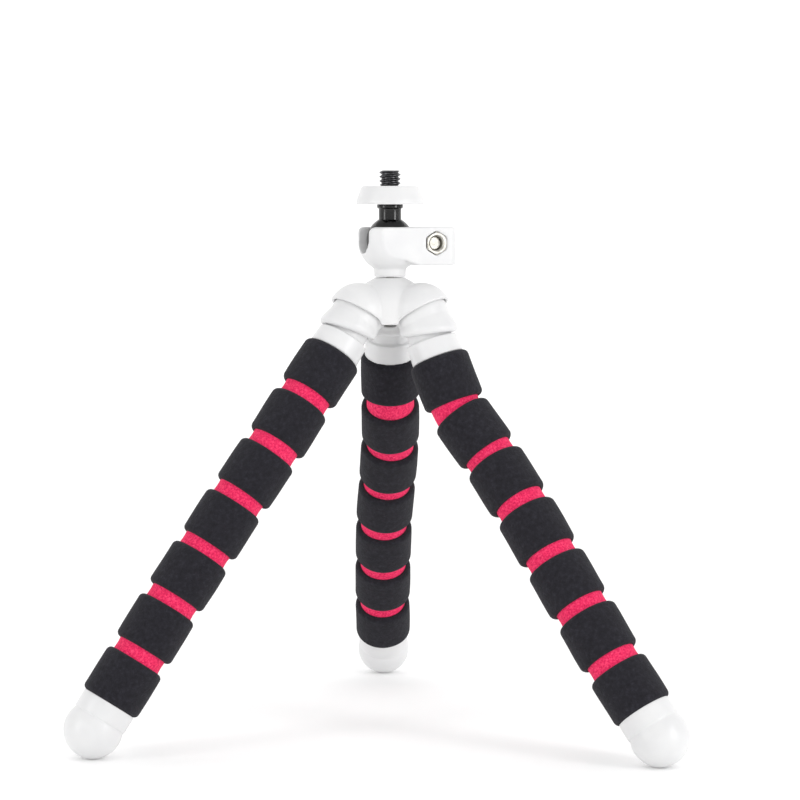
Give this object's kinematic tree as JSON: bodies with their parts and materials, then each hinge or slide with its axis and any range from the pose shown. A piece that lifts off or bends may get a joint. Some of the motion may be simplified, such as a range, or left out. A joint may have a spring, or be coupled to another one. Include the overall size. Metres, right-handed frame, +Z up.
{
  "type": "flexible mini tripod",
  "caption": "Small camera tripod: three bendable foam-ringed legs fold at a domed hub under a split ball clamp with a quarter-inch camera screw.",
  "frame": {"origin": "on the floor, under the middle of the bounding box of the standing tripod", "axes": "+Z up along the camera screw, +X to the right leg's side as seen from the front, -Y towards the picture's camera"},
  "size_m": [0.1784, 0.165, 0.1686],
  "materials": {
    "white_plastic": "smooth moulded, soft gloss",
    "black_stem": "smooth, glossy black",
    "black_screw": "black plated thread",
    "plated_steel": "zinc plated",
    "black_foam": "matte closed-cell foam, faintly mottled",
    "red_foam": "matte fine-pored foam",
    "core_plastic": "moulded, matte",
    "knob_plastic": "moulded, matte, ribbed"
  },
  "bodies": {
    "hub": {"hub_crown": "white_plastic", "hub_base": "core_plastic", "hub_screw": "plated_steel", "hinge_pins": "plated_steel"},
    "clamp": {"ball_clamp": "white_plastic", "clamp_nut": "plated_steel"},
    "knob": {"clamp_bolt": "plated_steel", "clamp_knob": "knob_plastic"},
    "ball": {"ball_stem": "black_stem", "camera_stud": "black_screw"},
    "disc": {"lock_disc": "white_plastic"},
    "left_seg_1": {"left_root": "white_plastic", "left_collar": "white_plastic", "left_ring_1": "black_foam", "left_sleeve": "red_foam"},
    "left_seg_2": {"left_link_1": "core_plastic", "left_ring_2": "black_foam"},
    "left_seg_3": {"left_link_2": "core_plastic", "left_ring_3": "black_foam"},
    "left_seg_4": {"left_link_3": "core_plastic", "left_ring_4": "black_foam"},
    "left_seg_5": {"left_link_4": "core_plastic", "left_ring_5": "black_foam"},
    "left_seg_6": {"left_link_5": "core_plastic", "left_ring_6": "black_foam"},
    "left_seg_7": {"left_foot": "white_plastic", "left_ring_7": "black_foam"},
    "right_seg_1": {"right_root": "white_plastic", "right_collar": "white_plastic", "right_ring_1": "black_foam", "right_sleeve": "red_foam"},
    "right_seg_2": {"right_link_1": "core_plastic", "right_ring_2": "black_foam"},
    "right_seg_3": {"right_link_2": "core_plastic", "right_ring_3": "black_foam"},
    "right_seg_4": {"right_link_3": "core_plastic", "right_ring_4": "black_foam"},
    "right_seg_5": {"right_link_4": "core_plastic", "right_ring_5": "black_foam"},
    "right_seg_6": {"right_link_5": "core_plastic", "right_ring_6": "black_foam"},
    "right_seg_7": {"right_foot": "white_plastic", "right_ring_7": "black_foam"},
    "rear_seg_1": {"rear_root": "white_plastic", "rear_collar": "white_plastic", "rear_ring_1": "black_foam", "rear_sleeve": "red_foam"},
    "rear_seg_2": {"rear_link_1": "core_plastic", "rear_ring_2": "black_foam"},
    "rear_seg_3": {"rear_link_2": "core_plastic", "rear_ring_3": "black_foam"},
    "rear_seg_4": {"rear_link_3": "core_plastic", "rear_ring_4": "black_foam"},
    "rear_seg_5": {"rear_link_4": "core_plastic", "rear_ring_5": "black_foam"},
    "rear_seg_6": {"rear_link_5": "core_plastic", "rear_ring_6": "black_foam"},
    "rear_seg_7": {"rear_foot": "white_plastic", "rear_ring_7": "black_foam"}
  },
  "joints": [
    {"name": "head_pan", "type": "hinge", "parent": "hub", "child": "clamp", "pos_m": [0.00432, -0.02001, 0.13699], "axis": [0, 0, 1], "continuous": true},
    {"name": "ball_tilt", "type": "hinge", "parent": "clamp", "child": "ball", "pos_m": [0.00432, -0.02001, 0.14789], "axis": [-0.3584, 0.9336, 0], "range_deg": [-90, 25]},
    {"name": "disc_turn", "type": "hinge", "parent": "ball", "child": "disc", "pos_m": [0.00432, -0.02001, 0.15849], "axis": [0, 0, 1], "continuous": true},
    {"name": "knob_turn", "type": "hinge", "parent": "clamp", "child": "knob", "pos_m": [0.01533, -0.01578, 0.14699], "axis": [-0.3584, 0.9336, 0], "continuous": true},
    {"name": "left_fold", "type": "hinge", "parent": "hub", "child": "left_seg_1", "pos_m": [-0.00504, -0.02541, 0.12609], "axis": [0.5, -0.866, 0], "range_deg": [-5.3, 36.7]},
    {"name": "left_groove_1", "type": "hinge", "parent": "left_seg_1", "child": "left_seg_2", "pos_m": [-0.02085, -0.03454, 0.1016], "axis": [-0.5, 0.866, 0], "range_deg": [-22, 22], "deforming": ["left_sleeve"]},
    {"name": "left_groove_2", "type": "hinge", "parent": "left_seg_2", "child": "left_seg_3", "pos_m": [-0.03011, -0.03989, 0.08725], "axis": [-0.6944, -0.4009, 0.5976], "range_deg": [-18, 26], "deforming": ["left_sleeve"]},
    {"name": "left_groove_3", "type": "hinge", "parent": "left_seg_3", "child": "left_seg_4", "pos_m": [-0.03998, -0.04414, 0.07293], "axis": [-0.4627, 0.8848, 0.0559], "range_deg": [-20.5, 23.5], "deforming": ["left_sleeve"]},
    {"name": "left_groove_4", "type": "hinge", "parent": "left_seg_4", "child": "left_seg_5", "pos_m": [-0.04952, -0.04821, 0.05834], "axis": [-0.7085, -0.407, 0.5765], "range_deg": [-23.5, 20.5], "deforming": ["left_sleeve"]},
    {"name": "left_groove_5", "type": "hinge", "parent": "left_seg_5", "child": "left_seg_6", "pos_m": [-0.05883, -0.05269, 0.04372], "axis": [-0.4765, 0.8785, 0.0346], "range_deg": [-21, 23], "deforming": ["left_sleeve"]},
    {"name": "left_groove_6", "type": "hinge", "parent": "left_seg_6", "child": "left_seg_7", "pos_m": [-0.06793, -0.05704, 0.02893], "axis": [-0.7175, -0.4113, 0.5621], "range_deg": [-21, 23], "deforming": ["left_sleeve"]},
    {"name": "right_fold", "type": "hinge", "parent": "hub", "child": "right_seg_1", "pos_m": [0.01367, -0.02541, 0.12609], "axis": [0.5, 0.866, 0], "range_deg": [-18.66, 23.34]},
    {"name": "right_groove_1", "type": "hinge", "parent": "right_seg_1", "child": "right_seg_2", "pos_m": [0.02415, -0.03146, 0.09804], "axis": [-0.5, -0.866, 0], "range_deg": [-38.5, 5.5], "deforming": ["right_sleeve"]},
    {"name": "right_groove_2", "type": "hinge", "parent": "right_seg_2", "child": "right_seg_3", "pos_m": [0.03408, -0.03719, 0.0843], "axis": [0.665, -0.3839, 0.6406], "range_deg": [-15.5, 28.5], "deforming": ["right_sleeve"]},
    {"name": "right_groove_3", "type": "hinge", "parent": "right_seg_3", "child": "right_seg_4", "pos_m": [0.04293, -0.04465, 0.07064], "axis": [-0.5596, -0.8242, 0.0869], "range_deg": [-19.5, 24.5], "deforming": ["right_sleeve"]},
    {"name": "right_groove_4", "type": "hinge", "parent": "right_seg_4", "child": "right_seg_5", "pos_m": [0.05126, -0.05179, 0.0565], "axis": [0.6859, -0.4017, 0.6067], "range_deg": [-23, 21], "deforming": ["right_sleeve"]},
    {"name": "right_groove_5", "type": "hinge", "parent": "right_seg_5", "child": "right_seg_6", "pos_m": [0.05976, -0.05868, 0.04233], "axis": [-0.5514, -0.831, 0.0731], "range_deg": [-22, 22], "deforming": ["right_sleeve"]},
    {"name": "right_groove_6", "type": "hinge", "parent": "right_seg_6", "child": "right_seg_7", "pos_m": [0.06826, -0.06556, 0.02816], "axis": [0.6859, -0.4017, 0.6067], "range_deg": [-25, 19], "deforming": ["right_sleeve"]},
    {"name": "rear_fold", "type": "hinge", "parent": "hub", "child": "rear_seg_1", "pos_m": [0.00432, -0.00921, 0.12609], "axis": [-1, 0, 0], "range_deg": [-17.23, 24.77]},
    {"name": "rear_groove_1", "type": "hinge", "parent": "rear_seg_1", "child": "rear_seg_2", "pos_m": [0.00432, 0.00359, 0.09835], "axis": [1, 0, 0], "range_deg": [-37, 7], "deforming": ["rear_sleeve"]},
    {"name": "rear_groove_2", "type": "hinge", "parent": "rear_seg_2", "child": "rear_seg_3", "pos_m": [0.00432, 0.01504, 0.08459], "axis": [0, 0.7687, 0.6397], "range_deg": [-25.5, 18.5], "deforming": ["rear_sleeve"]},
    {"name": "rear_groove_3", "type": "hinge", "parent": "rear_seg_3", "child": "rear_seg_4", "pos_m": [0.00322, 0.02647, 0.07086], "axis": [0.9981, 0.0391, -0.0469], "range_deg": [-19, 25], "deforming": ["rear_sleeve"]},
    {"name": "rear_groove_4", "type": "hinge", "parent": "rear_seg_4", "child": "rear_seg_5", "pos_m": [0.00213, 0.03716, 0.05655], "axis": [-0.0032, 0.801, 0.5986], "range_deg": [-19.5, 24.5], "deforming": ["rear_sleeve"]},
    {"name": "rear_groove_5", "type": "hinge", "parent": "rear_seg_5", "child": "rear_seg_6", "pos_m": [0.00182, 0.04787, 0.04221], "axis": [0.9998, 0.013, -0.012], "range_deg": [-23, 21], "deforming": ["rear_sleeve"]},
    {"name": "rear_groove_6", "type": "hinge", "parent": "rear_seg_6", "child": "rear_seg_7", "pos_m": [0.00151, 0.05883, 0.02806], "axis": [-0.0029, 0.7904, 0.6125], "range_deg": [-20.5, 23.5], "deforming": ["rear_sleeve"]}
  ]
}
